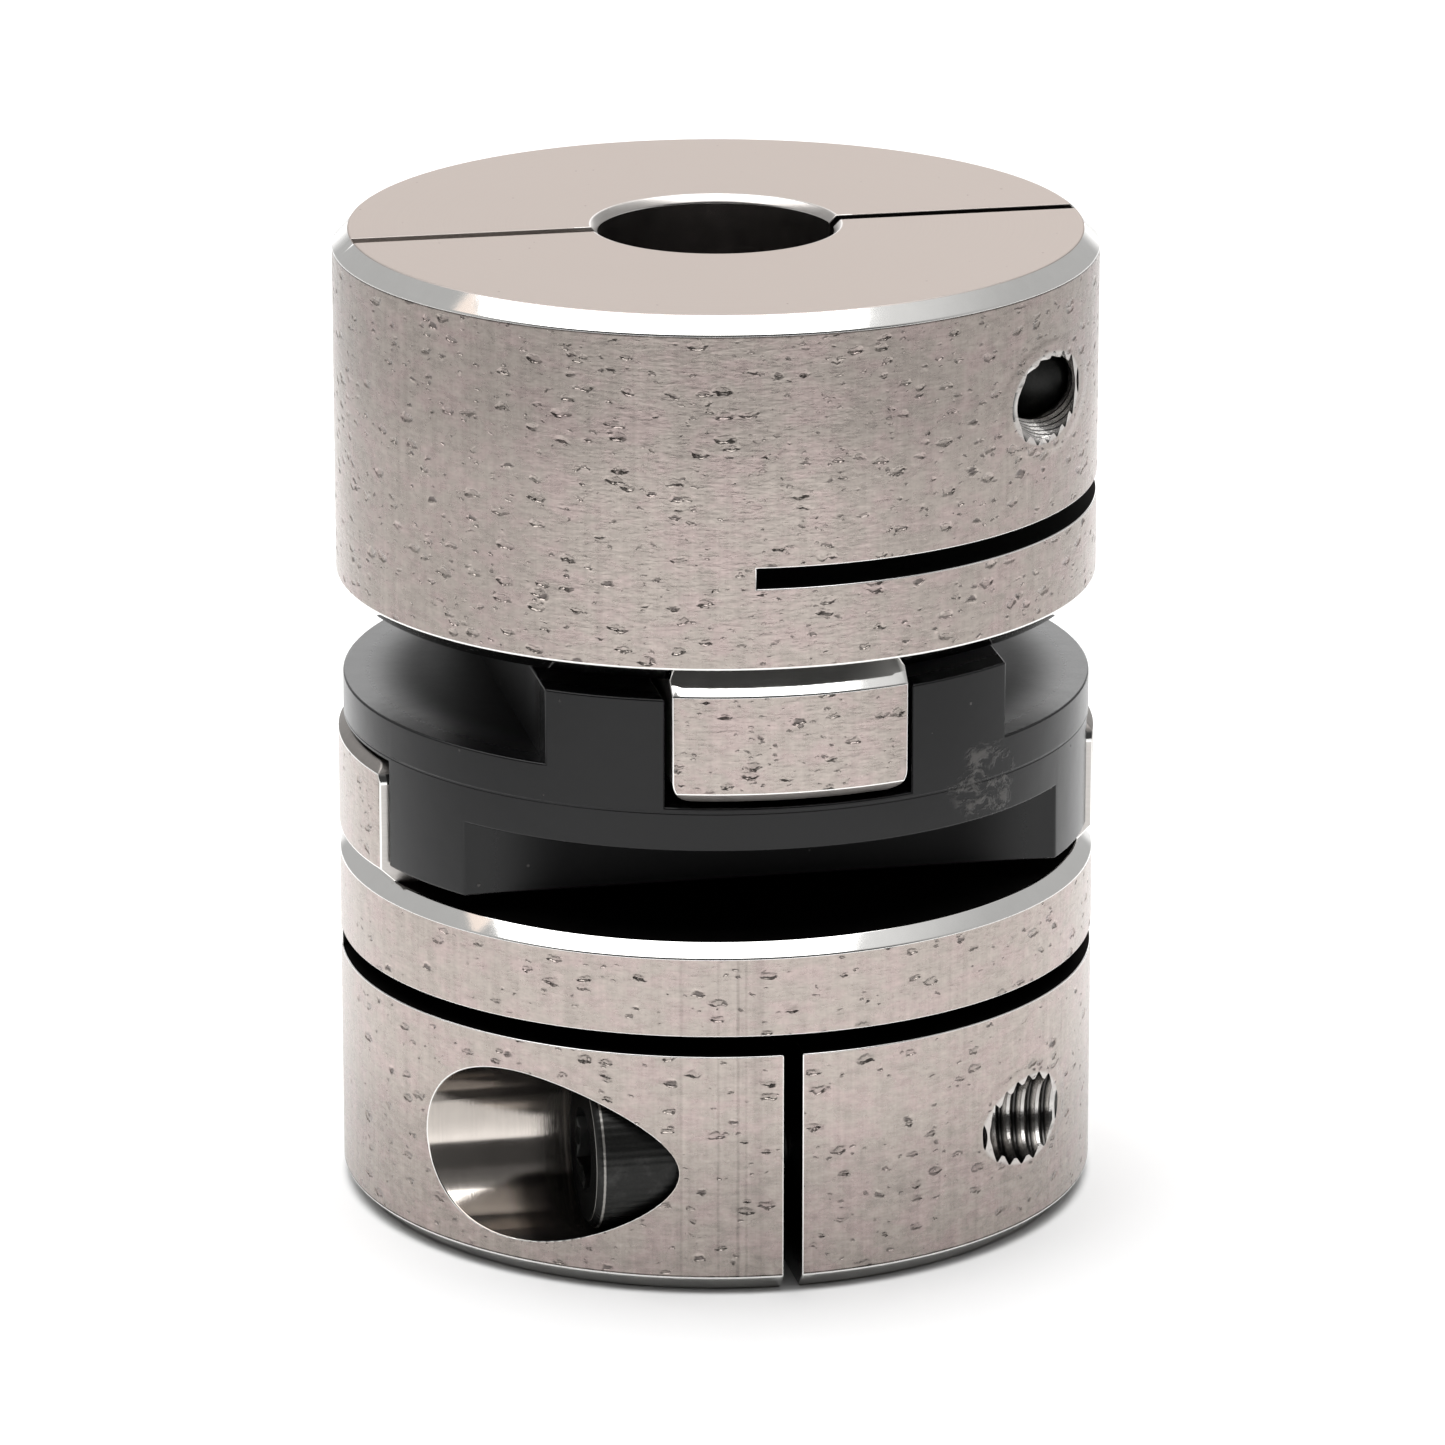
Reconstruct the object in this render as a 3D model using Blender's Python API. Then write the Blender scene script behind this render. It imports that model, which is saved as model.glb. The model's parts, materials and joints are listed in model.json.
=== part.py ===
"""Three-piece Oldham shaft coupling with clamp hubs, in metres, +Z up.

Two identical aluminium clamp hubs face each other, turned a quarter turn apart. The drive
tenon of each hub slides in its own slot of the moulded centre disc, and the two slots cross
at right angles. One M5 socket head cap screw closes each clamp.

The origin is the centre of the disc, on the bore axis. Everything about a hub is written in
the lower hub's frame: tenon along X, clamp slit towards -Y, screw head towards -X. The upper
hub is the same solid, turned over and round by a quarter turn.
"""

import math

import bmesh
import bpy
from mathutils import Euler, Matrix

MM = 0.001

# Hub: a turned blank with a milled tenon and sawn clamp slits.
HUB_RADIUS = 20.65 * MM
HUB_END = 26.8 * MM  # from the disc's middle to the hub's outer end face
END_CHAMFER = 0.9 * MM
BORE_RADIUS = 6.35 * MM
BORE_CHAMFER = 0.4 * MM
FLANGE_FACE = 7.2 * MM  # from the disc's middle to the face the tenon stands on
GROOVE_DEPTH = 0.75 * MM  # the 45 degree V groove between flange and tenon
TENON_FACE = 0.6 * MM
TENON_WIDTH = 12.6 * MM
TENON_END_CHAMFER = 0.5 * MM
TENON_EDGE_RADIUS = 1.1 * MM

# Saw cuts that turn the outer part of the hub into a clamp.
CLAMP_SLIT = 1.0 * MM
CROSS_SLIT = 1.1 * MM
CROSS_SLIT_HEIGHT = 12.85 * MM  # from the disc's middle to the middle of the cut
CROSS_SLIT_PAST_AXIS = 2.0 * MM
KERF_DEPTH = 0.9 * MM  # saw run-out on the far side of the bore, deepest at the bore

# M5 x 16 socket head cap screw and its holes.
SCREW_OFFSET = 15.0 * MM  # from the bore axis to the screw axis
SCREW_HEIGHT = 20.0 * MM  # from the disc's middle to the screw axis
SCREW_LENGTH = 16.0 * MM
SHANK_RADIUS = 2.24 * MM  # the thread at its pitch diameter
HEAD_RADIUS = 4.25 * MM
HEAD_HEIGHT = 5.0 * MM
HEAD_BEARING = 5.3 * MM  # from the clamp slit to the underside of the head
SOCKET_ACROSS_FLATS = 4.0 * MM
SOCKET_DEPTH = 2.5 * MM
SCREW_CHAMFER = 0.5 * MM
COUNTERBORE_RADIUS = 4.75 * MM
CLEARANCE_RADIUS = 2.75 * MM
TAPPED_RADIUS = 2.5 * MM
SEAT_GAP = 0.3 * MM

# Centre disc: a round web with two ribs on each side, one either side of a slot.
DISC_RADIUS = 20.35 * MM
WEB_HALF = 2.1 * MM
RIB_HEIGHT = 6.2 * MM  # from the disc's middle
RIB_OUTER = 12.4 * MM  # from the slot's middle to the rib's outer face
SLOT_HALF = TENON_WIDTH / 2 + 0.3 * MM
SLOT_FLOOR = 0.3 * MM

ROUND = 72  # facets round the hubs and the disc
ROUND_SMALL = 32  # facets round the screws and their holes
ARC_STEPS = 4
OVERSHOOT = 2.0 * MM  # how far a cutter runs past the stock
WELD = 0.0001 * MM  # points of a turned profile that meet on the axis
SHARP = math.radians(30)  # edges steeper than this are shaded as edges

QUARTER = math.pi / 2
AS_MADE = Euler((0.0, 0.0, 0.0))
TURNED_OVER = Euler((math.pi, 0.0, -QUARTER))  # from the lower hub's place to the upper hub's
ALONG_X = Matrix.Rotation(QUARTER, 4, "Y")
HEAD_TO_MINUS_X = Euler((0.0, -QUARTER, 0.0))


def clear_scene():
    for obj in list(bpy.data.objects):
        bpy.data.objects.remove(obj, do_unlink=True)


def material(name, colour, roughness, metallic):
    made = bpy.data.materials.new(name)
    made.use_nodes = True
    shader = made.node_tree.nodes["Principled BSDF"]
    shader.inputs["Base Color"].default_value = (*colour, 1.0)
    shader.inputs["Roughness"].default_value = roughness
    shader.inputs["Metallic"].default_value = metallic
    return made


def mesh_of(bm, name):
    bmesh.ops.recalc_face_normals(bm, faces=bm.faces)
    mesh = bpy.data.meshes.new(name)
    bm.to_mesh(mesh)
    bm.free()
    return mesh


def turned(name, profile, segments):
    """A solid of revolution about Z. The profile is a closed ring of (radius, z) points."""
    bm = bmesh.new()
    rings = []
    for step in range(segments):
        angle = math.tau * step / segments
        ring = [bm.verts.new((r * math.cos(angle), r * math.sin(angle), z)) for r, z in profile]
        rings.append(ring)
    for step, ring in enumerate(rings):
        following = rings[(step + 1) % segments]
        for i, low in enumerate(ring):
            high = ring[i - 1]
            bm.faces.new((low, high, following[i - 1], following[i]))
    bmesh.ops.remove_doubles(bm, verts=bm.verts, dist=WELD)
    return mesh_of(bm, name)


def prism(name, outline, start, end):
    """A solid with the given outline of (y, z) points, drawn out along X."""
    bm = bmesh.new()
    near = [bm.verts.new((start, y, z)) for y, z in outline]
    far = [bm.verts.new((end, y, z)) for y, z in outline]
    bm.faces.new(near)
    bm.faces.new(reversed(far))
    for i in range(len(outline)):
        bm.faces.new((near[i - 1], near[i], far[i], far[i - 1]))
    return mesh_of(bm, name)


def box(name, low, high):
    outline = [(low[1], low[2]), (high[1], low[2]), (high[1], high[2]), (low[1], high[2])]
    return prism(name, outline, low[0], high[0])


def rod(name, radius, start, end, segments=ROUND_SMALL):
    """A round bar along Z."""
    bm = bmesh.new()
    length = end - start
    middle = Matrix.Translation((0.0, 0.0, (start + end) / 2))
    bmesh.ops.create_cone(
        bm, cap_ends=True, segments=segments, radius1=radius, radius2=radius,
        depth=length, matrix=middle,
    )
    return mesh_of(bm, name)


def placed(mesh, matrix):
    mesh.transform(matrix)
    return mesh


def cut(stock, cutters):
    """The stock mesh less every cutter mesh, as one new mesh."""
    body = bpy.data.objects.new(stock.name, stock)
    bpy.context.scene.collection.objects.link(body)
    helpers = [body]
    for cutter in cutters:
        tool = bpy.data.objects.new(cutter.name, cutter)
        bpy.context.scene.collection.objects.link(tool)
        tool.hide_render = True
        tool.display_type = "WIRE"
        helpers.append(tool)
        boolean = body.modifiers.new(cutter.name, "BOOLEAN")
        boolean.operation = "DIFFERENCE"
        boolean.solver = "EXACT"
        boolean.object = tool
    bpy.context.view_layer.update()
    evaluated = body.evaluated_get(bpy.context.evaluated_depsgraph_get())
    result = bpy.data.meshes.new_from_object(evaluated)
    for helper in helpers:
        bpy.data.objects.remove(helper, do_unlink=True)
    return result


def surfaced(mesh, surface):
    """The mesh in its material, shaded smooth except across its edges."""
    mesh.materials.clear()
    mesh.materials.append(surface)
    mesh.shade_smooth()
    mesh.set_sharp_from_angle(angle=SHARP)
    return mesh


def piece(name, mesh, location=(0.0, 0.0, 0.0), rotation=AS_MADE, parent=None):
    """One named object. Its place is given in its parent's frame."""
    obj = bpy.data.objects.new(name, mesh)
    obj.location = location
    obj.rotation_euler = rotation
    obj.parent = parent
    bpy.context.scene.collection.objects.link(obj)
    return obj


def hub_blank():
    """The turned blank: bore, end chamfers and the V groove behind the tenon."""
    profile = [
        (BORE_RADIUS, -HUB_END + BORE_CHAMFER),
        (BORE_RADIUS + BORE_CHAMFER, -HUB_END),
        (HUB_RADIUS - END_CHAMFER, -HUB_END),
        (HUB_RADIUS, -HUB_END + END_CHAMFER),
        (HUB_RADIUS, -FLANGE_FACE - GROOVE_DEPTH),
        (HUB_RADIUS - GROOVE_DEPTH, -FLANGE_FACE),
        (HUB_RADIUS, -FLANGE_FACE + GROOVE_DEPTH),
        (HUB_RADIUS, -TENON_FACE - TENON_END_CHAMFER),
        (HUB_RADIUS - TENON_END_CHAMFER, -TENON_FACE),
        (BORE_RADIUS, -TENON_FACE),
    ]
    return turned("hub", profile, ROUND)


def tenon_waste(side):
    """What the mill takes off one side of the tenon, leaving its long edge rounded."""
    half = TENON_WIDTH / 2
    edge = [
        (
            half - TENON_EDGE_RADIUS * (1 - math.cos(QUARTER * step / ARC_STEPS)),
            -TENON_FACE - TENON_EDGE_RADIUS * (1 - math.sin(QUARTER * step / ARC_STEPS)),
        )
        for step in range(ARC_STEPS + 1)
    ]
    far = HUB_RADIUS + OVERSHOOT
    top = OVERSHOOT
    outline = [(half, -FLANGE_FACE), *edge, (edge[-1][0], top), (far, top), (far, -FLANGE_FACE)]
    return prism("tenon_waste", [(side * y, z) for y, z in outline], -far, far)


def cross_slit():
    reach = HUB_RADIUS + OVERSHOOT
    middle = -CROSS_SLIT_HEIGHT
    low = (-reach, -reach, middle - CROSS_SLIT / 2)
    high = (reach, CROSS_SLIT_PAST_AXIS, middle + CROSS_SLIT / 2)
    return box("cross_slit", low, high)


def clamp_slit():
    reach = HUB_RADIUS + OVERSHOOT
    low = (-CLAMP_SLIT / 2, -reach, -HUB_END - OVERSHOOT)
    high = (CLAMP_SLIT / 2, 0.0, -CROSS_SLIT_HEIGHT)
    return box("clamp_slit", low, high)


def saw_kerf():
    """The shallow run-out of the saw, opposite the clamp slit, fading out at the chamfer."""
    face = -HUB_END
    outer = HUB_RADIUS - END_CHAMFER
    outline = [
        (0.0, face - OVERSHOOT),
        (outer, face - OVERSHOOT),
        (outer, face),
        (BORE_RADIUS, face + KERF_DEPTH),
        (0.0, face + KERF_DEPTH),
    ]
    return prism("saw_kerf", outline, -CLAMP_SLIT / 2, CLAMP_SLIT / 2)


def screw_holes():
    """Counterbore, clearance hole and tapped hole, on one axis parallel to X."""
    reach = HUB_RADIUS + OVERSHOOT
    floor = -HEAD_BEARING + SEAT_GAP
    to_axis = Matrix.Translation((0.0, -SCREW_OFFSET, -SCREW_HEIGHT)) @ ALONG_X
    counterbore = rod("counterbore", COUNTERBORE_RADIUS, -reach, floor)
    clearance = rod("clearance_hole", CLEARANCE_RADIUS, floor - OVERSHOOT, 0.0)
    tapped = rod("tapped_hole", TAPPED_RADIUS, 0.0, reach)
    return [placed(hole, to_axis) for hole in (counterbore, clearance, tapped)]


def hub_mesh():
    cutters = [tenon_waste(1), tenon_waste(-1), cross_slit(), clamp_slit(), saw_kerf()]
    return cut(hub_blank(), cutters + screw_holes())


def disc_mesh():
    """A round block with a slot and two side steps taken out of each face."""
    block = rod("disc", DISC_RADIUS, -RIB_HEIGHT, RIB_HEIGHT, ROUND)
    reach = DISC_RADIUS + OVERSHOOT
    past_rib = -RIB_HEIGHT - OVERSHOOT
    cutters = []
    for turn in (AS_MADE, TURNED_OVER):
        face = turn.to_matrix().to_4x4()
        slot = box("slot", (-reach, -SLOT_HALF, past_rib), (reach, SLOT_HALF, -SLOT_FLOOR))
        cutters.append(placed(slot, face))
        for side in (-1, 1):
            near, far = sorted((side * RIB_OUTER, side * reach))
            step = box("side_step", (-reach, near, past_rib), (reach, far, -WEB_HALF))
            cutters.append(placed(step, face))
    return cut(block, cutters)


def screw_mesh():
    """The clamp screw along its own Z, head upwards, with its origin at the clamp slit."""
    bearing = HEAD_BEARING
    top = bearing + HEAD_HEIGHT
    tip = bearing - SCREW_LENGTH
    profile = [
        (0.0, tip),
        (SHANK_RADIUS - SCREW_CHAMFER, tip),
        (SHANK_RADIUS, tip + SCREW_CHAMFER),
        (SHANK_RADIUS, bearing),
        (HEAD_RADIUS, bearing),
        (HEAD_RADIUS, top - SCREW_CHAMFER),
        (HEAD_RADIUS - SCREW_CHAMFER, top),
        (0.0, top),
    ]
    across_corners = SOCKET_ACROSS_FLATS / 2 / math.cos(math.pi / 6)
    socket = rod("socket", across_corners, top - SOCKET_DEPTH, top + OVERSHOOT, 6)
    return cut(turned("screw", profile, ROUND_SMALL), [socket])


def build():
    clear_scene()
    aluminium = material("machined_aluminium", (0.62, 0.58, 0.55), 0.35, 1.0)
    acetal = material("black_acetal", (0.02, 0.02, 0.022), 0.3, 0.0)
    steel = material("black_oxide_steel", (0.03, 0.03, 0.03), 0.4, 1.0)
    hub_shape = surfaced(hub_mesh(), aluminium)
    screw_shape = surfaced(screw_mesh(), steel)
    screw_origin = (0.0, -SCREW_OFFSET, -SCREW_HEIGHT)
    for side, turn in (("lower", AS_MADE), ("upper", TURNED_OVER)):
        hub = piece(f"{side}_hub", hub_shape, rotation=turn)
        piece(f"{side}_clamp_screw", screw_shape, screw_origin, HEAD_TO_MINUS_X, hub)
    piece("center_disc", surfaced(disc_mesh(), acetal))


build()
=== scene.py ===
"""The looks of a three-piece Oldham shaft coupling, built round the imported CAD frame.

Each CAD node gets a finer piece on the same body: two machined aluminium clamp hubs with saw
slits, threaded holes and broken edges, a moulded black acetal disc, and two knurled, threaded
socket head cap screws. Everything is in metres, in the CAD's frame.

A hub and its screw are modelled in the lower hub's place: tenon along X, clamp slit towards
-Y, screw head towards -X. The upper pair is the same shape, turned over and round.
"""

import json
import math

import bmesh
import bpy
from mathutils import Euler, Matrix, Vector


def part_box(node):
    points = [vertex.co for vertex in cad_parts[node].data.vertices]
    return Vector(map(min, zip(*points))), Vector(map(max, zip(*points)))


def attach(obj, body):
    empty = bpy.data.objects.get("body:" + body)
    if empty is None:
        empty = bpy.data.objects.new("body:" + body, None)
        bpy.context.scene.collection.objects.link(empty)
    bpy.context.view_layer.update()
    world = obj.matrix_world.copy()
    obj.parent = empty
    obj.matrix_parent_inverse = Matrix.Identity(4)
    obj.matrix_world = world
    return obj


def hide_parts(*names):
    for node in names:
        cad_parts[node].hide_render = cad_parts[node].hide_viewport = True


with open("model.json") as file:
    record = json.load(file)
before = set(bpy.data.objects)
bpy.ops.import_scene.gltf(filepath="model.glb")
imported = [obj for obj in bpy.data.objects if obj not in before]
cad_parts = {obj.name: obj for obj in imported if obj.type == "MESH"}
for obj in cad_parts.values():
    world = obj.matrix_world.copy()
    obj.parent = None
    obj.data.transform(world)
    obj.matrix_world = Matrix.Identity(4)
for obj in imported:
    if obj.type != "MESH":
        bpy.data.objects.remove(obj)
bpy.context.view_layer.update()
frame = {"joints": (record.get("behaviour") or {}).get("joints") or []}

MM = 0.001
QUARTER = math.pi / 2

# Sizes read from the CAD frame.
HUB_LOW, HUB_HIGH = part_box("lower_hub")
_, DISC_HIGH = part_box("center_disc")
SCREW_LOW, SCREW_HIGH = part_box("lower_clamp_screw")
JOINTS = {joint["name"]: joint for joint in frame["joints"]}
SCREW_AXIS = Vector(JOINTS["lower_screw_turn"]["pos_m"])

HUB_RADIUS = HUB_HIGH.x
HUB_END = -HUB_LOW.z  # from the disc's middle to the hub's outer end face
TENON_FACE = -HUB_HIGH.z
DISC_RADIUS = DISC_HIGH.x
RIB_HEIGHT = DISC_HIGH.z
HEAD_RADIUS = (SCREW_HIGH.y - SCREW_LOW.y) / 2
HEAD_TOP = -SCREW_LOW.x  # from the clamp slit to the top of the head
SCREW_TIP = -SCREW_HIGH.x

# The hub's finer sizes, as in the CAD.
END_CHAMFER = 0.9 * MM
BORE_RADIUS = 6.35 * MM
BORE_CHAMFER = 0.4 * MM
FLANGE_FACE = 7.2 * MM
GROOVE_DEPTH = 0.75 * MM
TENON_WIDTH = 12.6 * MM
TENON_END_CHAMFER = 0.5 * MM
TENON_EDGE_RADIUS = 1.1 * MM
CLAMP_SLIT = 1.0 * MM
CROSS_SLIT = 1.1 * MM
CROSS_SLIT_HEIGHT = 12.85 * MM
CROSS_SLIT_PAST_AXIS = 2.0 * MM
KERF_DEPTH = 0.9 * MM
COUNTERBORE_RADIUS = 4.75 * MM
COUNTERBORE_FLOOR = 5.0 * MM  # from the clamp slit
CLEARANCE_RADIUS = 2.75 * MM
EDGE_BREAK = 0.07 * MM

# Threads of M5's pitch, but slimmer: the screw's crests clear the hub's, so it can turn in place.
PITCH = 0.8 * MM
HOLE_CREST = 2.12 * MM
HOLE_ROOT = 2.46 * MM
SCREW_CREST = 2.07 * MM
SCREW_ROOT = 1.74 * MM
THREAD_SHAPE = ((0.0, 0.0), (0.22, 0.0), (0.56, 1.0), (0.68, 1.0))  # share of pitch, of depth

# Screw head.
HEAD_HEIGHT = 5.0 * MM
HEAD_CHAMFER = 0.4 * MM
TIP_CHAMFER = 0.6 * MM
KNURL_TEETH = 64
KNURL_DEPTH = 0.02 * MM
KNURL_SHAPE = (0.0, 0.5, 1.0, 0.5)  # share of the depth, round one tooth
BEARING_INSET = 0.3 * MM
BEARING_CHAMFER = 0.15 * MM
TOP_ROUNDING = 0.05 * MM
TOP_INSET = 0.08 * MM
SOCKET_ACROSS_FLATS = 4.0 * MM
SOCKET_DEPTH = 2.5 * MM
SOCKET_MOUTH = 0.25 * MM
DRILL_DEPTH = 0.9 * MM
DRILL_INSET = 0.1 * MM
DRILL_OVERLAP = 0.01 * MM

# Centre disc.
WEB_HALF = 2.1 * MM
RIB_OUTER = 12.4 * MM
SLOT_HALF = TENON_WIDTH / 2 + 0.3 * MM
SLOT_FLOOR = 0.3 * MM
DISC_EDGE = 0.13 * MM

# Facets.
ROUND = 240
ROUND_SMALL = 96
ARC_STEPS = 6
OVERSHOOT = 2.0 * MM
WELD = 0.0002 * MM
SPECK = 0.0005 * MM  # stock's points closer than this are welded before it is cut
AS_MADE_PLACE = "as_made"  # the point attribute that every texture is laid out by

AS_MADE = Matrix.Identity(4)
TURNED_OVER = Euler((math.pi, 0.0, -QUARTER)).to_matrix().to_4x4()
SCREW_PLACE = Matrix.Translation(SCREW_AXIS) @ Matrix.Rotation(-QUARTER, 4, "Y")


# ---------------------------------------------------------------- mesh tools

def mesh_of(bm, name):
    bmesh.ops.recalc_face_normals(bm, faces=bm.faces)
    mesh = bpy.data.meshes.new(name)
    bm.to_mesh(mesh)
    bm.free()
    return mesh


def cleaned(mesh):
    """The mesh with the points that all but meet welded, and no faces of no area between them."""
    bm = bmesh.new()
    bm.from_mesh(mesh)
    bmesh.ops.remove_doubles(bm, verts=bm.verts, dist=SPECK)
    bmesh.ops.dissolve_degenerate(bm, edges=bm.edges, dist=SPECK)
    return mesh_of(bm, mesh.name)


def placed(mesh, matrix):
    mesh.transform(matrix)
    return mesh


def turned(name, profile, segments=ROUND, offset=0.5):
    """A solid of revolution about Z from a closed ring of (radius, z) points."""
    bm = bmesh.new()
    rings = []
    for step in range(segments):
        angle = math.tau * (step + offset) / segments
        rings.append([bm.verts.new((r * math.cos(angle), r * math.sin(angle), z)) for r, z in profile])
    for step, ring in enumerate(rings):
        following = rings[(step + 1) % segments]
        for i, low in enumerate(ring):
            bm.faces.new((low, ring[i - 1], following[i - 1], following[i]))
    bmesh.ops.remove_doubles(bm, verts=bm.verts, dist=WELD)
    return mesh_of(bm, name)


def prism(name, outline, start, end):
    """A solid with the given outline of (y, z) points, drawn out along X."""
    bm = bmesh.new()
    near = [bm.verts.new((start, y, z)) for y, z in outline]
    far = [bm.verts.new((end, y, z)) for y, z in outline]
    bm.faces.new(near)
    bm.faces.new(reversed(far))
    for i in range(len(outline)):
        bm.faces.new((near[i - 1], near[i], far[i], far[i - 1]))
    return mesh_of(bm, name)


def box(name, low, high):
    outline = [(low[1], low[2]), (high[1], low[2]), (high[1], high[2]), (low[1], high[2])]
    return prism(name, outline, low[0], high[0])


def rod(name, radius, start, end, segments=ROUND_SMALL):
    """A round bar along Z."""
    return turned(name, [(0.0, start), (radius, start), (radius, end), (0.0, end)], segments)


def arc(centre, radius, start, end, steps=ARC_STEPS):
    """Points round a centre, from one angle to another, in degrees."""
    points = []
    for step in range(steps + 1):
        angle = math.radians(start + (end - start) * step / steps)
        points.append((centre[0] + radius * math.cos(angle), centre[1] + radius * math.sin(angle)))
    return points


def threaded_bar(name, root, crest, start, end, segments=ROUND_SMALL):
    """A bar along Z with one right-hand V thread, closed by a fan at each end."""
    rows = []
    turns = math.ceil((end - start) / PITCH)
    for turn in range(turns):
        for share, depth in THREAD_SHAPE:
            rows.append((start + PITCH * (turn + share), root + depth * (crest - root)))
    per_turn = len(THREAD_SHAPE)
    bm = bmesh.new()
    columns = []
    for i in range(segments):
        angle = math.tau * i / segments
        rise = PITCH * i / segments
        column = [bm.verts.new((r * math.cos(angle), r * math.sin(angle), z + rise)) for z, r in rows]
        columns.append(column)
    for i in range(per_turn):
        z, r = rows[i]
        columns[0].append(bm.verts.new((r, 0.0, z + PITCH * turns)))
    last = len(rows) - 1
    for i in range(segments):
        wraps = i == segments - 1
        shift = per_turn if wraps else 0
        following = columns[0] if wraps else columns[i + 1]
        for j in range(last):
            bm.faces.new((columns[i][j], following[j + shift], following[j + shift + 1], columns[i][j + 1]))
    for row in (0, last):
        rim = [column[row] for column in columns]
        rim += [columns[0][row + step] for step in range(per_turn, 0, -1)]
        middle = bm.verts.new((0.0, 0.0, sum(v.co.z for v in rim) / len(rim)))
        for i, corner in enumerate(rim):
            bm.faces.new((middle, corner, rim[(i + 1) % len(rim)]))
    return mesh_of(bm, name)


def combined(stock, others, operation="DIFFERENCE"):
    """The stock mesh cut by, or joined with, every other mesh, as one new mesh."""
    body = bpy.data.objects.new(stock.name, cleaned(stock))
    bpy.context.scene.collection.objects.link(body)
    helpers = [body]
    for other in others:
        tool = bpy.data.objects.new(other.name, other)
        bpy.context.scene.collection.objects.link(tool)
        helpers.append(tool)
        boolean = body.modifiers.new(other.name, "BOOLEAN")
        boolean.operation = operation
        boolean.solver = "EXACT"
        boolean.object = tool
    bpy.context.view_layer.update()
    evaluated = body.evaluated_get(bpy.context.evaluated_depsgraph_get())
    result = bpy.data.meshes.new_from_object(evaluated)
    for helper in helpers:
        bpy.data.objects.remove(helper, do_unlink=True)
    return result


def edges_broken(mesh, width, segments=2, sharp=math.radians(32)):
    """The mesh with every sharp outside edge rounded off."""
    bm = bmesh.new()
    bm.from_mesh(mesh)
    bmesh.ops.remove_doubles(bm, verts=bm.verts, dist=0.002 * MM)
    bmesh.ops.dissolve_degenerate(bm, edges=bm.edges, dist=0.002 * MM)
    edges = [e for e in bm.edges if e.is_convex and e.calc_face_angle(0.0) > sharp]
    bmesh.ops.bevel(
        bm, geom=edges, offset=width, offset_type="OFFSET", segments=segments, profile=0.5,
        affect="EDGES", clamp_overlap=False, loop_slide=True,
    )
    return mesh_of(bm, mesh.name)


# ---------------------------------------------------------------- hub

def hub_blank():
    """The turned blank: bore, end chamfers and the V groove behind the tenon."""
    return turned("hub", [
        (BORE_RADIUS, -HUB_END + BORE_CHAMFER),
        (BORE_RADIUS + BORE_CHAMFER, -HUB_END),
        (HUB_RADIUS - END_CHAMFER, -HUB_END),
        (HUB_RADIUS, -HUB_END + END_CHAMFER),
        (HUB_RADIUS, -FLANGE_FACE - GROOVE_DEPTH),
        (HUB_RADIUS - GROOVE_DEPTH, -FLANGE_FACE),
        (HUB_RADIUS, -FLANGE_FACE + GROOVE_DEPTH),
        (HUB_RADIUS, -TENON_FACE - TENON_END_CHAMFER),
        (HUB_RADIUS - TENON_END_CHAMFER, -TENON_FACE),
        (BORE_RADIUS, -TENON_FACE),
    ])


def tenon_waste(side):
    """What the mill takes off one side of the tenon, leaving its long edge rounded."""
    half = TENON_WIDTH / 2
    centre = (half - TENON_EDGE_RADIUS, -TENON_FACE - TENON_EDGE_RADIUS)
    edge = arc(centre, TENON_EDGE_RADIUS, 0, 90)
    far = HUB_RADIUS + OVERSHOOT
    outline = [(half, -FLANGE_FACE), *edge, (edge[-1][0], OVERSHOOT), (far, OVERSHOOT), (far, -FLANGE_FACE)]
    return prism("tenon_waste", [(side * y, z) for y, z in outline], -far, far)


def cross_slit():
    reach = HUB_RADIUS + OVERSHOOT
    low = (-reach, -reach, -CROSS_SLIT_HEIGHT - CROSS_SLIT / 2)
    high = (reach, CROSS_SLIT_PAST_AXIS, -CROSS_SLIT_HEIGHT + CROSS_SLIT / 2)
    return box("cross_slit", low, high)


def clamp_slit():
    low = (-CLAMP_SLIT / 2, -HUB_RADIUS - OVERSHOOT, -HUB_END - OVERSHOOT)
    high = (CLAMP_SLIT / 2, 0.0, -CROSS_SLIT_HEIGHT)
    return box("clamp_slit", low, high)


def saw_kerf():
    """The shallow run-out of the saw, opposite the clamp slit, fading out at the chamfer."""
    outer = HUB_RADIUS - END_CHAMFER
    outline = [
        (0.0, -HUB_END - OVERSHOOT),
        (outer, -HUB_END - OVERSHOOT),
        (outer, -HUB_END + KERF_DEPTH / 2),
        (BORE_RADIUS, -HUB_END + KERF_DEPTH),
        (0.0, -HUB_END + KERF_DEPTH),
    ]
    return prism("saw_kerf", outline, -CLAMP_SLIT / 2, CLAMP_SLIT / 2)


def hub_mesh():
    """A hub in the lower hub's place. Its thread is cut last, so that it stays sharp."""
    reach = HUB_RADIUS + OVERSHOOT
    counterbore = rod("counterbore", COUNTERBORE_RADIUS, COUNTERBORE_FLOOR, reach)
    clearance = rod("clearance_hole", CLEARANCE_RADIUS, 0.0, reach)
    cutters = [tenon_waste(1), tenon_waste(-1), cross_slit(), clamp_slit(), saw_kerf()]
    cutters += [placed(hole, SCREW_PLACE) for hole in (counterbore, clearance)]
    hub = edges_broken(combined(hub_blank(), cutters), EDGE_BREAK)
    thread = threaded_bar("thread", HOLE_CREST, HOLE_ROOT, -reach, 0.0)
    return combined(hub, [placed(thread, SCREW_PLACE)])


# ---------------------------------------------------------------- disc

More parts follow.
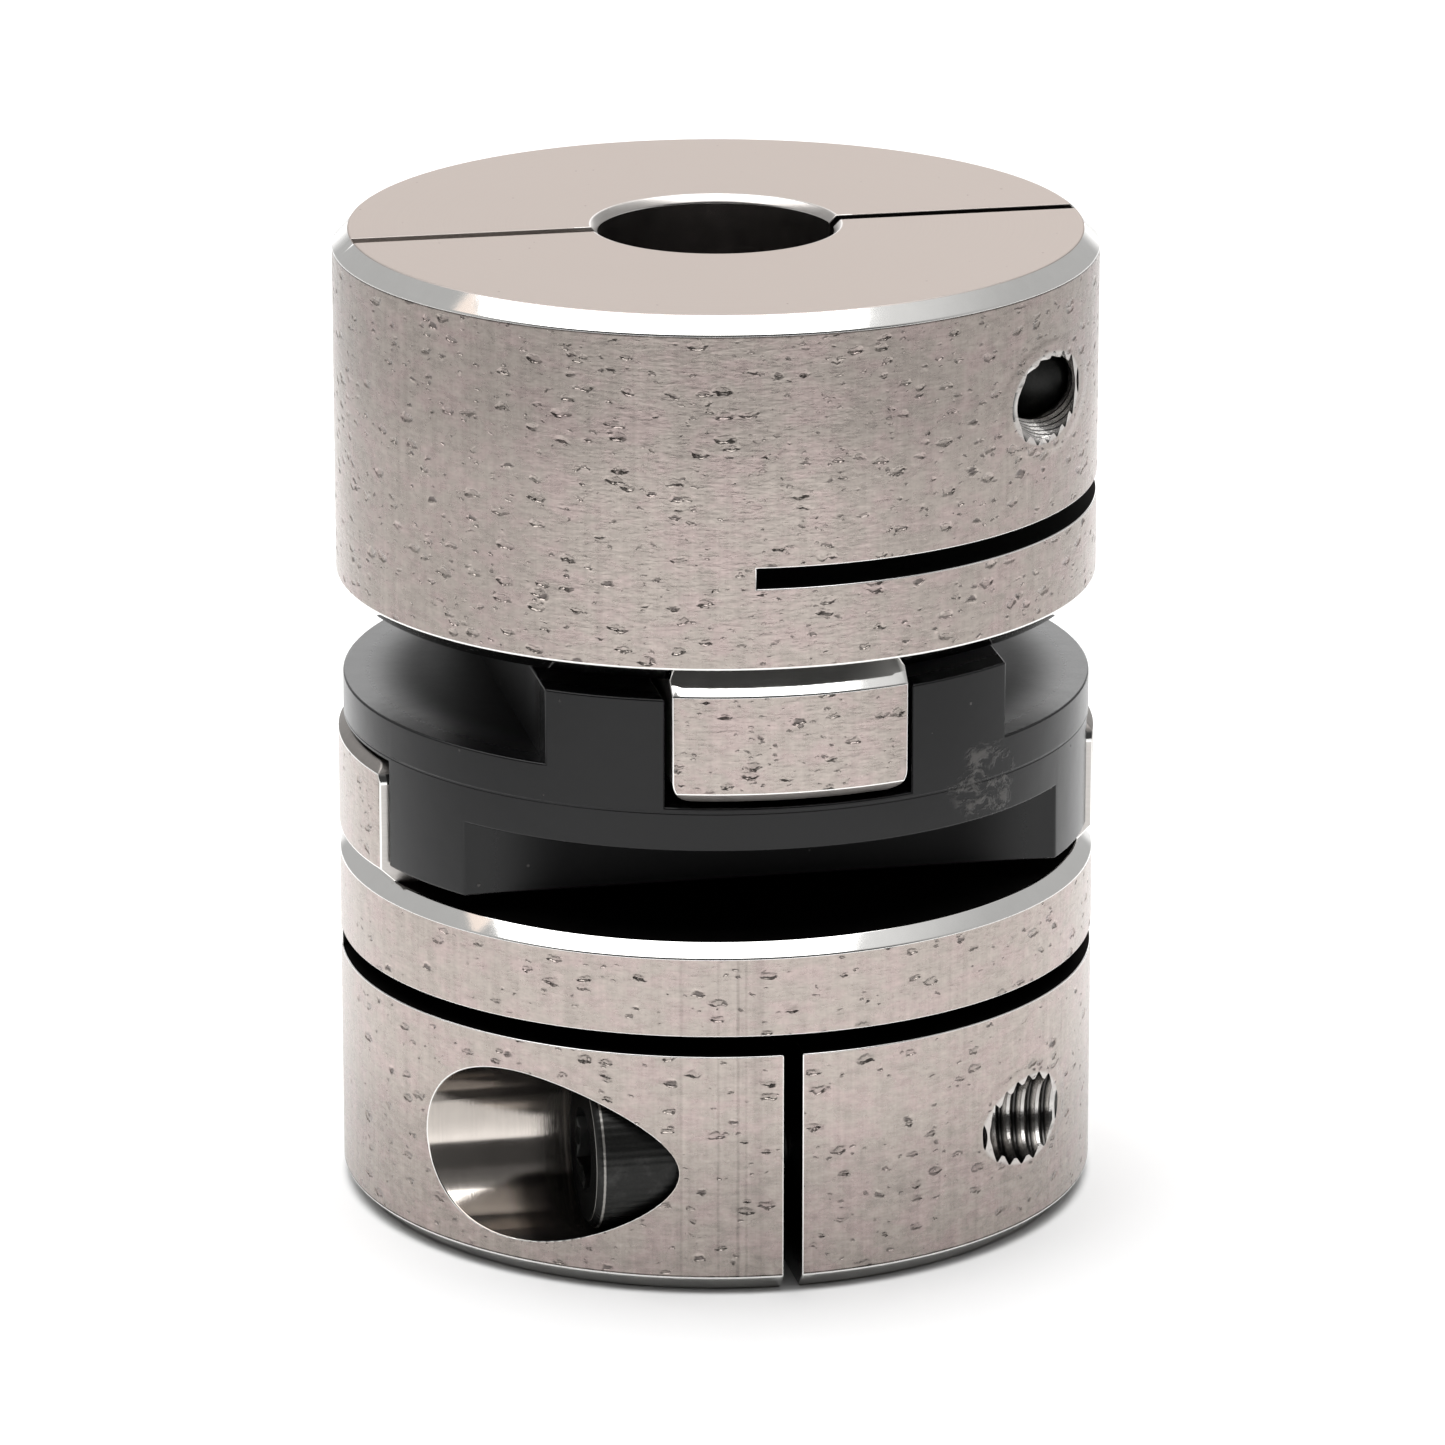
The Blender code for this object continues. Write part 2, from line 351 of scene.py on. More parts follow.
def disc_mesh():
    """A round block with a slot and two side steps taken out of each face."""
    block = turned("disc", [
        (0.0, -RIB_HEIGHT),
        (DISC_RADIUS, -RIB_HEIGHT),
        (DISC_RADIUS, RIB_HEIGHT),
        (0.0, RIB_HEIGHT),
    ])
    reach = DISC_RADIUS + OVERSHOOT
    past_rib = -RIB_HEIGHT - OVERSHOOT
    cutters = []
    for face in (AS_MADE, TURNED_OVER):
        slot = box("slot", (-reach, -SLOT_HALF, past_rib), (reach, SLOT_HALF, -SLOT_FLOOR))
        cutters.append(placed(slot, face))
        for side in (-1, 1):
            near, far = sorted((side * RIB_OUTER, side * reach))
            step = box("side_step", (-reach, near, past_rib), (reach, far, -WEB_HALF))
            cutters.append(placed(step, face))
    return edges_broken(combined(block, cutters), DISC_EDGE, segments=3)


# ---------------------------------------------------------------- screw

def knurled_head():
    """The head along Z, its side cut into fine straight teeth."""
    bearing = HEAD_TOP - HEAD_HEIGHT
    count = KNURL_TEETH * len(KNURL_SHAPE)
    rings = [
        (bearing, HEAD_RADIUS - BEARING_INSET, 0.0),
        (bearing + BEARING_CHAMFER, HEAD_RADIUS, 1.0),
        (HEAD_TOP - HEAD_CHAMFER, HEAD_RADIUS, 1.0),
        (HEAD_TOP - TOP_ROUNDING, HEAD_RADIUS - HEAD_CHAMFER, 0.0),
        (HEAD_TOP, HEAD_RADIUS - HEAD_CHAMFER - TOP_INSET, 0.0),
    ]
    bm = bmesh.new()
    loops = []
    for z, radius, knurl in rings:
        loop = []
        for i in range(count):
            groove = KNURL_SHAPE[i % len(KNURL_SHAPE)]
            r = radius - knurl * groove * KNURL_DEPTH
            angle = math.tau * i / count
            loop.append(bm.verts.new((r * math.cos(angle), r * math.sin(angle), z)))
        loops.append(loop)
    for low, high in zip(loops, loops[1:]):
        for i in range(count):
            bm.faces.new((low[i - 1], low[i], high[i], high[i - 1]))
    bm.faces.new(reversed(loops[0]))
    bm.faces.new(loops[-1])
    return mesh_of(bm, "screw")


def screw_mesh():
    """The clamp screw along Z, head upwards, with its origin at the clamp slit."""
    bearing = HEAD_TOP - HEAD_HEIGHT
    shank = threaded_bar("shank", SCREW_ROOT, SCREW_CREST, SCREW_TIP - PITCH, bearing + PITCH)
    far = SCREW_CREST + OVERSHOOT
    tip_waste = turned("tip_waste", [
        (0.0, SCREW_TIP - 2 * OVERSHOOT),
        (far, SCREW_TIP - 2 * OVERSHOOT),
        (far, SCREW_TIP + far - SCREW_CREST + TIP_CHAMFER),
        (SCREW_CREST - TIP_CHAMFER, SCREW_TIP),
        (0.0, SCREW_TIP),
    ], ROUND_SMALL)
    screw = combined(knurled_head(), [combined(shank, [tip_waste])], "UNION")
    corners = SOCKET_ACROSS_FLATS / 2 / math.cos(math.pi / 6)
    floor = HEAD_TOP - SOCKET_DEPTH
    socket = turned("socket", [
        (0.0, floor),
        (corners, floor),
        (corners, HEAD_TOP + OVERSHOOT),
        (0.0, HEAD_TOP + OVERSHOOT),
    ], 6, 0.0)
    mouth = turned("mouth", [
        (0.0, HEAD_TOP - SOCKET_MOUTH),
        (corners - SOCKET_MOUTH, HEAD_TOP - SOCKET_MOUTH),
        (corners + OVERSHOOT, HEAD_TOP + OVERSHOOT),
        (0.0, HEAD_TOP + OVERSHOOT),
    ], ROUND_SMALL)
    drill = turned("drill", [
        (0.0, floor - DRILL_DEPTH),
        (SOCKET_ACROSS_FLATS / 2 - DRILL_INSET, floor + DRILL_OVERLAP),
        (0.0, floor + DRILL_OVERLAP),
    ], ROUND_SMALL)
    return combined(screw, [socket, mouth, drill])


# ---------------------------------------------------------------- node tools

class Graph:
    """Short calls that build one node tree. An input is a value or another node's output."""

    def __init__(self, tree):
        self.tree = tree

    def feed(self, socket, value):
        if isinstance(value, bpy.types.NodeSocket):
            self.tree.links.new(value, socket)
        else:
            socket.default_value = value

    def node(self, kind, inputs=(), **settings):
        made = self.tree.nodes.new(kind)
        for name, value in settings.items():
            setattr(made, name, value)
        for key, value in dict(inputs).items():
            self.feed(made.inputs[key], value)
        return made

    def math(self, operation, *values):
        made = self.node("ShaderNodeMath", operation=operation)
        for socket, value in zip(made.inputs, values):
            self.feed(socket, value)
        return made.outputs[0]

    def step(self, value, start, end, low=0.0, high=1.0):
        """A smooth step from low at start to high at end."""
        made = self.node("ShaderNodeMapRange", interpolation_type="SMOOTHSTEP")
        for socket, given in zip(made.inputs, (value, start, end, low, high)):
            self.feed(socket, given)
        return made.outputs[0]

    def sum(self, start, *parts):
        """The start value plus every part's value times its weight."""
        for value, weight in parts:
            start = self.math("MULTIPLY_ADD", value, weight, start)
        return start

    def dot(self, vector, axis):
        made = self.node("ShaderNodeVectorMath", operation="DOT_PRODUCT")
        self.feed(made.inputs[0], vector)
        self.feed(made.inputs[1], axis)
        return made.outputs["Value"]

    def scaled(self, vector, factors):
        made = self.node("ShaderNodeVectorMath", operation="MULTIPLY")
        self.feed(made.inputs[0], vector)
        self.feed(made.inputs[1], factors)
        return made.outputs["Vector"]

    def toned(self, colour, tone):
        """The colour, made lighter or darker."""
        made = self.node("ShaderNodeVectorMath", operation="SCALE")
        self.feed(made.inputs[0], colour)
        self.feed(made.inputs["Scale"], tone)
        return made.outputs["Vector"]

    def length(self, vector):
        made = self.node("ShaderNodeVectorMath", operation="LENGTH")
        self.feed(made.inputs[0], vector)
        return made.outputs["Value"]

    def parts(self, vector):
        made = self.node("ShaderNodeSeparateXYZ")
        self.feed(made.inputs[0], vector)
        return made.outputs[:3]

    def mix(self, factor, first, second):
        made = self.node("ShaderNodeMix", data_type="RGBA")
        self.feed(made.inputs["Factor"], factor)
        self.feed(made.inputs["A"], first)
        self.feed(made.inputs["B"], second)
        return made.outputs["Result"]

    def noise(self, vector, stretch=(1.0, 1.0, 1.0), detail=3.0, roughness=0.5):
        """Noise whose features are about 1 / stretch long in each direction."""
        inputs = {"Vector": self.scaled(vector, stretch), "Detail": detail, "Roughness": roughness}
        return self.node("ShaderNodeTexNoise", {**inputs, "Scale": 1.0}).outputs["Fac"]

    def warped(self, vector, amount, scale):
        """The point, pushed about by noise so that outlines aren't regular."""
        moved = self.node("ShaderNodeTexNoise", {"Vector": vector, "Scale": scale, "Detail": 2.0})
        made = self.node("ShaderNodeVectorMath", operation="MULTIPLY_ADD")
        self.feed(made.inputs[0], moved.outputs["Color"])
        self.feed(made.inputs[1], (amount, amount, amount))
        self.feed(made.inputs[2], vector)
        return made.outputs["Vector"]

    def spots(self, vector, stretch, size, share):
        """Scattered spots: 1 in the middle of each, 0 between them. Only a share of cells has one."""
        cells = self.node("ShaderNodeTexVoronoi", {"Vector": self.scaled(vector, stretch), "Scale": 1.0})
        chance, luck, _ = self.parts(cells.outputs["Color"])
        reach = self.math("MULTIPLY_ADD", luck, size * 0.75, size * 0.25)
        inside = self.step(cells.outputs["Distance"], self.math("MULTIPLY", reach, 0.35), reach, 1.0, 0.0)
        return self.math("MULTIPLY", inside, self.math("LESS_THAN", chance, share))

    def relief(self, shader, height, depth):
        """Bumps on the surface: the height is a share of the depth, which is in metres."""
        bump = self.node("ShaderNodeBump", {"Height": height, "Distance": depth, "Strength": 1.0})
        self.feed(shader.inputs["Normal"], bump.outputs[0])


def new_material(name, metallic=0.0):
    """A material's graph, its Principled shader and the point on the surface as it was made, in mm."""
    made = bpy.data.materials.new(name)
    made.use_nodes = True
    graph = Graph(made.node_tree)
    shader = made.node_tree.nodes["Principled BSDF"]
    graph.feed(shader.inputs["Metallic"], metallic)
    place = graph.node("ShaderNodeAttribute", attribute_name=AS_MADE_PLACE).outputs["Vector"]
    return made, graph, shader, place


def grey(value):
    return (value, value, value, 1.0)


# ---------------------------------------------------------------- materials

TURNED_PINK = (0.445, 0.368, 0.348)
TURNED_BEIGE = (0.415, 0.368, 0.335)
# The pits' colour: dark with dirt and painted shade.
TURNED_PIT_DIRT_AND_SHADE = (0.19, 0.165, 0.155)
PIT_HIGHLIGHT_DROP = -0.16  # mm: how far the painted highlight below each pit is from the pit
FACED = (0.37, 0.335, 0.314)
POLISHED = (0.85, 0.84, 0.82)
COUNTERBORED = (0.60, 0.55, 0.505)
# Near black: painted shade on the faces towards the disc and in the cross slit.
SHADED_FLANGE_GREY = (0.06, 0.056, 0.055)
MILLED = (0.5, 0.475, 0.455)
BORED = (0.36, 0.34, 0.33)
THREADED = (0.62, 0.60, 0.58)
DULL = (0.30, 0.28, 0.265)
OXIDE = (0.035, 0.035, 0.034)
# The head's rims: worn steel and a painted highlight.
WORN_LIT_STEEL = (0.55, 0.53, 0.50)
ACETAL = (0.0022, 0.0022, 0.0026)
ACETAL_SCUFF = (0.10, 0.095, 0.09)
ACETAL_IOR = 1.39  # below acetal's own, for its dull skin
FACED_TINT = (0.95, 0.87, 0.83, 1.0)

# Places of marks, in mm as made, each from where it starts to where it ends.
END_SHADE_SPAN = (-21.5, -16.5)  # heights: painted shade, the bar a little darker towards the hub's end face
EDGE_SHADE_ROW = (0.12, 0.18)  # above the end chamfer: a thin dark line of painted shade
# In the counterbore: darker above the axis, and painted shade below it and deep in.
DARKER_ABOVE = (1.45, 1.8)  # heights from the screw's axis
SHADED_BELOW = (-2.9, -2.5)
SHADED_DEEP = (-14.0, -12.6)  # along the screw's axis
SHINY_RIM = (0.79, 0.965)  # shares of the disc's radius
SCORES = (  # degrees, mm, share of the darkest
    (-98.1, 0.13, 1.0),
    (-95.2, 0.60, 0.55),
    (-96.9, 0.10, 0.6),
    (-101.0, 0.10, 0.55),
    (-106.5, 0.13, 0.5),
)
GATE_ANGLE = math.radians(-57.0)
GATE_SIZE = 2.8
GATE_HEIGHT = -0.1
GATE_WARP = 2.2


def turned_finish(name, pitting, scored):
    """The drawn bar's outer surface: blotchy, streaked along the axis, and pitted all over. Painted light
    and shade: a highlight below each pit, pits dark with dirt and shade, and darker towards the end face
    and in a line above the end chamfer.
    """
    made, graph, shader, place = new_material(name, 1.0)
    loose = graph.warped(place, 0.5, 1.7)
    large = graph.spots(loose, (0.62, 0.62, 1.35), 0.30, pitting)
    small = graph.spots(loose, (1.45, 1.45, 3.1), 0.34, pitting)
    pit = graph.math("MAXIMUM", large, graph.math("MULTIPLY", small, 0.7))
    # A painted highlight: a copy of each pit, a little lower, lightens the surface below it.
    highlight_place = graph.node("ShaderNodeVectorMath", {0: loose, 1: (0.0, 0.0, PIT_HIGHLIGHT_DROP)}, operation="ADD")
    pit_highlight = graph.spots(highlight_place.outputs[0], (0.62, 0.62, 1.35), 0.30, pitting)
    pit_highlight = graph.math("MAXIMUM", graph.math("SUBTRACT", pit_highlight, pit), 0.0)
    blotches = graph.noise(place, (0.45, 0.45, 0.7), 4.0, 0.65)
    patches = graph.noise(place, (1.3, 1.3, 1.9), 3.0, 0.6)
    streaks = graph.noise(place, (2.4, 2.4, 0.07), 3.0, 0.7)
    dashes = graph.noise(place, (1.2, 1.2, 5.5), 2.0, 0.55)
    grain = graph.noise(place, (6.0, 6.0, 9.0), 2.0, 0.6)
    dents = graph.spots(loose, (0.75, 0.75, 1.7), 0.5, 0.6 * pitting + 0.2)
    _, _, height = graph.parts(place)
    # Painted shade: the bar darker towards the hub's end face.
    end_shade = graph.step(height, *END_SHADE_SPAN, 0.16, 0.0)
    # Painted shade: a thin dark line just above the end chamfer.
    above_chamfer = graph.math("SUBTRACT", height, (END_CHAMFER - HUB_END) / MM)
    edge_shade_line = graph.step(above_chamfer, *EDGE_SHADE_ROW, 0.55, 0.0)
    scores = scored_along(graph, place) if scored else 0.0
    tone = graph.sum(
        0.29, (patches, 0.54), (streaks, 0.34), (dashes, 0.30), (grain, 0.20),
        (scores, -0.18), (dents, -0.11), (end_shade, -1.0), (edge_shade_line, -1.0),
        (pit_highlight, 0.28),
    )
    colour = graph.mix(graph.step(blotches, 0.34, 0.58), (*TURNED_PINK, 1.0), (*TURNED_BEIGE, 1.0))
    # Pits take a dark colour: dirt and painted shade.
    colour = graph.mix(graph.step(pit, 0.3, 0.85), graph.toned(colour, tone), (*TURNED_PIT_DIRT_AND_SHADE, 1.0))
    # A painted highlight round the tapped hole's edge.
    rim_highlight, burr = hole_edge(graph, place)
    graph.feed(shader.inputs["Base Color"], graph.mix(rim_highlight, colour, (*THREADED, 1.0)))
    graph.feed(shader.inputs["Roughness"], graph.sum(0.20, (patches, 0.16), (pit, 0.15)))
    relief = graph.sum(
        0.0, (pit, -1.1), (dents, -1.1), (dashes, 0.2), (grain, 0.04), (patches, 0.3), (streaks, 0.06),
        (burr, 0.7),
    )
    graph.relief(shader, relief, 0.09 * MM)
    return made


def from_screw_axis(graph, place):
    """How far the point is from the screw's axis, in mm, and which side of the clamp slit it is on."""
    x, y, z = graph.parts(place)
    flat = graph.node("ShaderNodeCombineXYZ", {
        "X": graph.math("SUBTRACT", y, SCREW_AXIS.y / MM),
        "Y": graph.math("SUBTRACT", z, SCREW_AXIS.z / MM),
    })
    return graph.length(flat.outputs[0]), x


def hole_edge(graph, place):
    """The tapped hole's edge, painted lighter as a highlight, and the low burr that the tap raised round
    it.
    """
    off, side = from_screw_axis(graph, place)
    tapped = graph.math("GREATER_THAN", side, 0.0)
    root = HOLE_ROOT / MM
    rim_highlight = graph.math("MULTIPLY", graph.step(off, root - 0.12, root + 0.08, 0.7, 0.0), tapped)
    burr = graph.math("MULTIPLY", graph.step(off, root + 0.35, root + 0.85, 1.0, 0.0), tapped)
    return rim_highlight, burr


def scored_along(graph, place):
    """Lines along the axis, where the bar was dragged: one broad rub among thin scratches."""
    x, y, _ = graph.parts(graph.warped(place, 0.10, 0.9))
    around = graph.math("MULTIPLY", graph.math("ARCTAN2", y, x), HUB_RADIUS / MM)
    lines = 0.0
    for angle, width, strength in SCORES:
        beside = graph.math("SUBTRACT", around, math.radians(angle) * HUB_RADIUS / MM)
        off = graph.math("ABSOLUTE", beside)
        line = graph.step(off, width * 0.25, width, strength, 0.0)
        lines = graph.math("MAXIMUM", lines, line)
    return lines


def faced_finish():
    """An end face off the lathe: fine rings round the bore, and a few specks."""
    made, graph, shader, place = new_material("faced_aluminium", 1.0)
    radius = graph.length(graph.scaled(place, (1.0, 1.0, 0.0)))
    across = graph.node("ShaderNodeCombineXYZ", {"X": radius}).outputs[0]
    rings = graph.noise(across, (9.0, 1.0, 1.0), 3.0, 0.7)
    clouds = graph.noise(place, (0.16, 0.16, 0.16), 3.0, 0.55)
    specks = graph.spots(graph.warped(place, 0.3, 2.0), (0.9, 0.9, 0.9), 0.09, 0.5)
    tone = graph.sum(0.90, (rings, 0.12), (clouds, 0.10), (specks, -0.5))
    graph.feed(shader.inputs["Base Color"], graph.toned(FACED, tone))
    graph.feed(shader.inputs["Specular Tint"], FACED_TINT)
    graph.feed(shader.inputs["Roughness"], graph.sum(0.44, (clouds, 0.08)))
    graph.relief(shader, graph.sum(0.0, (rings, 1.0), (specks, -1.0)), 0.004 * MM)
    return made


def lined_metal(name, colour, roughness, stretch, lines=0.3, depth=0.004, wear=0.25, edge_tint=1.0):
    """Bare metal with tool marks: noise stretched along the cut, over softer cloudy wear."""
    made, graph, shader, place = new_material(name, 1.0)
    marks = graph.noise(place, stretch, 4.0, 0.75)
    clouds = graph.noise(place, (0.8, 0.8, 0.8), 3.0, 0.6)
    tone = graph.sum(1.0 - (lines + wear) / 2, (marks, lines), (clouds, wear))
    graph.feed(shader.inputs["Base Color"], graph.toned(colour, tone))
    graph.feed(shader.inputs["Specular Tint"], grey(edge_tint))
    graph.feed(shader.inputs["Roughness"], graph.sum(roughness - 0.05, (clouds, 0.1)))
    graph.relief(shader, marks, depth * MM)
    return made


def counterbore_finish():
    """A bored wall with rings from the cutter. It is darker above the axis, and painted shade darkens it
    low down and deep in, towards the head.
    """
    made, graph, shader, place = new_material("counterbored_aluminium", 0.94)
    rings = graph.noise(place, (9.0, 0.25, 0.25), 4.0, 0.75)
    clouds = graph.noise(place, (0.8, 0.8, 0.8), 3.0, 0.6)
    x, _, z = graph.parts(place)
    height = graph.math("SUBTRACT", z, SCREW_AXIS.z / MM)
    # Darker above the axis.
    lightness = graph.step(height, *DARKER_ABOVE, 1.0, 0.5)
    # Painted shade: darker low down and deep in, towards the head.
    low = graph.step(height, *SHADED_BELOW, 1.0, 0.0)
    deep = graph.step(x, *SHADED_DEEP, 0.0, 0.75)
    counterbore_shade = graph.sum(1.0, (graph.math("MULTIPLY", low, deep), -1.0))
    tone = graph.math("MULTIPLY", graph.sum(0.75, (rings, 0.25), (clouds, 0.25)), lightness)
    tone = graph.math("MULTIPLY", tone, counterbore_shade)
    graph.feed(shader.inputs["Base Color"], graph.toned(COUNTERBORED, tone))
    graph.feed(shader.inputs["Specular Tint"], grey(0.4))
    graph.feed(shader.inputs["Roughness"], graph.sum(0.07, (clouds, 0.1)))
    graph.relief(shader, rings, 0.0035 * MM)
    return made


def thread_finish():
    """A tapped thread: bright crests, and roots darkened towards black with painted shade."""
    made, graph, shader, place = new_material("threaded_aluminium", 1.0)
    off, _ = from_screw_axis(graph, place)
    torn = graph.noise(place, (3.0, 3.0, 3.0), 4.0, 0.7)
    # Painted shade: the roots darken towards black.
    lightness = graph.step(off, HOLE_CREST / MM + 0.08, HOLE_ROOT / MM, 1.0, 0.12)
    tone = graph.math("MULTIPLY", graph.sum(0.7, (torn, 0.5)), lightness)
    graph.feed(shader.inputs["Base Color"], graph.toned(THREADED, tone))
    graph.feed(shader.inputs["Roughness"], graph.sum(0.1, (torn, 0.2)))
    graph.relief(shader, torn, 0.02 * MM)
    return made


def worn_lit_head_rims(graph, place):
    """Where the black is rubbed off the head, also a painted highlight: the two edges of the chamfer round
    its top.
    """
    _, _, z = graph.parts(place)
    off_axis = graph.length(graph.scaled(place, (1.0, 1.0, 0.0)))
    worn_lit_rims = 0.0
    for radius, top, width in (
        (HEAD_RADIUS, HEAD_TOP - HEAD_CHAMFER, 0.10),
        (HEAD_RADIUS - HEAD_CHAMFER, HEAD_TOP - 0.03 * MM, 0.035),
    ):
        beside = graph.math("SUBTRACT", off_axis, radius / MM)
        above = graph.math("SUBTRACT", z, top / MM)
        squares = [(graph.math("MULTIPLY", part, part), 1.0) for part in (beside, above)]
        near = graph.math("SQRT", graph.sum(0.0, *squares))
        worn_lit_rims = graph.math("MAXIMUM", worn_lit_rims, graph.step(near, width * 0.4, width, 0.6, 0.0))
    return worn_lit_rims


def black_oxide():
    """Dull black steel with a faint grain and greyer rubbed patches."""
    made, graph, shader, place = new_material("black_oxide", 1.0)
    grain = graph.noise(place, (7.0, 7.0, 7.0), 3.0, 0.6)
    rubbed = graph.step(graph.noise(place, (0.9, 0.9, 0.9), 3.0, 0.6), 0.5, 0.75)
    tone = graph.sum(0.7, (grain, 0.5), (rubbed, 0.5))
    # The rims are lighter: wear and a painted highlight.
    colour = graph.mix(worn_lit_head_rims(graph, place), graph.toned(OXIDE, tone), (*WORN_LIT_STEEL, 1.0))
    graph.feed(shader.inputs["Base Color"], colour)
    graph.feed(shader.inputs["Specular Tint"], grey(0.15))
    graph.feed(shader.inputs["Roughness"], graph.sum(0.36, (grain, 0.14)))
    graph.relief(shader, grain, 0.006 * MM)
    return made


def acetal():
    """Moulded black plastic: soft waves, dust specks, a parting line and the scar of its gate."""
    made, graph, shader, place = new_material("black_acetal", 0.0)
    waves = graph.noise(place, (0.5, 0.5, 0.5), 2.0, 0.5)
    grain = graph.noise(place, (5.0, 5.0, 5.0), 3.0, 0.6)
    dust = graph.spots(place, (0.42, 0.42, 0.42), 0.065, 0.8)
    _, _, height = graph.parts(place)
    radius = graph.length(graph.scaled(place, (1.0, 1.0, 0.0)))
    rim = graph.math("GREATER_THAN", radius, DISC_RADIUS / MM - 0.1)
    outer = graph.step(radius, *(share * DISC_RADIUS / MM for share in SHINY_RIM))
    parting = graph.step(graph.math("ABSOLUTE", height), 0.03, 0.09, 1.0, 0.0)
    parting = graph.math("MULTIPLY", parting, rim)
    scar = gate_scar(graph, place)
    scuff = graph.math("MAXIMUM", scar, graph.math("MULTIPLY", dust, 0.9))
    colour = graph.mix(scuff, graph.toned(ACETAL, graph.sum(0.5, (grain, 1.0))), (*ACETAL_SCUFF, 1.0))
    graph.feed(shader.inputs["Base Color"], colour)
    graph.feed(shader.inputs["Roughness"], graph.sum(0.5, (grain, 0.06), (scuff, 0.25), (outer, -0.28)))
    graph.feed(shader.inputs["Specular IOR Level"], graph.sum(0.22, (outer, 0.28)))
    graph.feed(shader.inputs["IOR"], ACETAL_IOR)
    relief = graph.sum(0.0, (parting, -1.0), (waves, 0.5), (grain, 0.08), (scar, 1.2), (dust, 0.4))
    graph.relief(shader, relief, 0.03 * MM)
    return made


def gate_scar(graph, place):
    """A smeared patch on the rim where the plastic was let into the mould."""
    edge = DISC_RADIUS / MM
    centre = (edge * math.cos(GATE_ANGLE), edge * math.sin(GATE_ANGLE), GATE_HEIGHT)
    loose = graph.warped(place, GATE_WARP, 0.55)
    away = graph.node("ShaderNodeVectorMath", operation="DISTANCE")
    graph.feed(away.inputs[0], loose)
    graph.feed(away.inputs[1], tuple(part + GATE_WARP / 2 for part in centre))
    patch = graph.step(away.outputs["Value"], GATE_SIZE * 0.55, GATE_SIZE, 1.0, 0.0)
    smears = graph.step(graph.noise(loose, (0.9, 0.9, 1.6), 4.0, 0.7), 0.46, 0.64)
    return graph.math("MULTIPLY", graph.math("MULTIPLY", patch, smears), 0.9)


# ---------------------------------------------------------------- finishes of a hub

FINISHES = (
    "turned", "faced", "flange_shade", "polished", "counterbored", "milled", "bored", "threaded", "dull",
)
FINE = 0.02 * MM
FLAT = 0.995


def hub_finish(centre, normal):
    """The name of the finish that a face of the hub has, by where it is and how it faces."""
    radius = math.hypot(centre.x, centre.y)
    outward = (normal.x * centre.x + normal.y * centre.y) / max(radius, FINE)
    from_screw = math.hypot(centre.y - SCREW_AXIS.y, centre.z - SCREW_AXIS.z)
    if outward > FLAT and radius > HUB_RADIUS - FINE:
        return "turned"
    if normal.z < -FLAT and centre.z < -HUB_END + CROSS_SLIT:
        return "faced"
    on_end = BORE_RADIUS + END_CHAMFER < radius < HUB_RADIUS - END_CHAMFER / 2
    if on_end and centre.z < -HUB_END + EDGE_BREAK:
        return "faced"
    # Faces towards the disc and in the cross slit: near black, painted shade.
    if normal.z > FLAT and centre.z > -CROSS_SLIT_HEIGHT + CROSS_SLIT:
        return "flange_shade"
    if max(map(abs, normal)) > FLAT and abs(centre.z + CROSS_SLIT_HEIGHT) < CROSS_SLIT:
        return "flange_shade"
    if normal.z > 0.5 and centre.z > -TENON_FACE - TENON_END_CHAMFER - FINE:
        return "dull"
    if centre.z < -HUB_END + BORE_CHAMFER and radius < BORE_RADIUS + END_CHAMFER:
        return "milled"
    if from_screw < HOLE_ROOT + FINE and centre.x > 0.0:
        return "threaded"
    if outward < -FLAT and radius < BORE_RADIUS + FINE:
        return "bored"
    if from_screw < COUNTERBORE_RADIUS + FINE and centre.x < 0.0:
        return "counterbored"
    if max(map(abs, normal)) > FLAT and from_screw > COUNTERBORE_RADIUS:
        return "milled"
    return "polished"


# ---------------------------------------------------------------- pieces

def shaded(mesh, materials, sharp=math.radians(50)):
    """The mesh in its materials, smooth except across its sharp edges, knowing its as-made place."""
    as_made = mesh.attributes.new(AS_MADE_PLACE, "FLOAT_VECTOR", "POINT")
    for vertex, point in zip(mesh.vertices, as_made.data):
        point.vector = vertex.co / MM
    mesh.materials.clear()
    for made in materials:
        mesh.materials.append(made)
    mesh.shade_smooth()
    mesh.set_sharp_from_angle(angle=sharp)
    return mesh


def piece(name, mesh, place, body, node):
    """One shown piece, standing for a CAD node and riding on its body."""
    obj = bpy.data.objects.new(name, placed(mesh.copy(), place))
    bpy.context.scene.collection.objects.link(obj)
    weighted = obj.modifiers.new("flat faces stay flat", "WEIGHTED_NORMAL")
    weighted.keep_sharp = True
    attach(obj, body)
    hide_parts(node)
    return obj


def hub_finishes():
    """The materials that both hubs share, in the order of FINISHES after the first."""
    return [
        faced_finish(),
        # Near black: painted shade on the faces towards the disc and in the cross slit.
        lined_metal("flange_shade_aluminium", SHADED_FLANGE_GREY, 0.35, (0.4, 4.0, 4.0), edge_tint=0.3),
        lined_metal("polished_aluminium", POLISHED, 0.08, (1.2, 1.2, 1.2), 0.06, 0.002, 0.06),
        counterbore_finish(),
        lined_metal("milled_aluminium", MILLED, 0.3, (0.5, 0.5, 9.0)),
        lined_metal("bored_aluminium", BORED, 0.25, (0.3, 0.3, 9.0)),
        thread_finish(),
        lined_metal("dull_aluminium", DULL, 0.5, (3.0, 3.0, 3.0)),
    ]


def finish_faces(mesh):
    for face in mesh.polygons:
        face.material_index = FINISHES.index(hub_finish(face.center, face.normal))


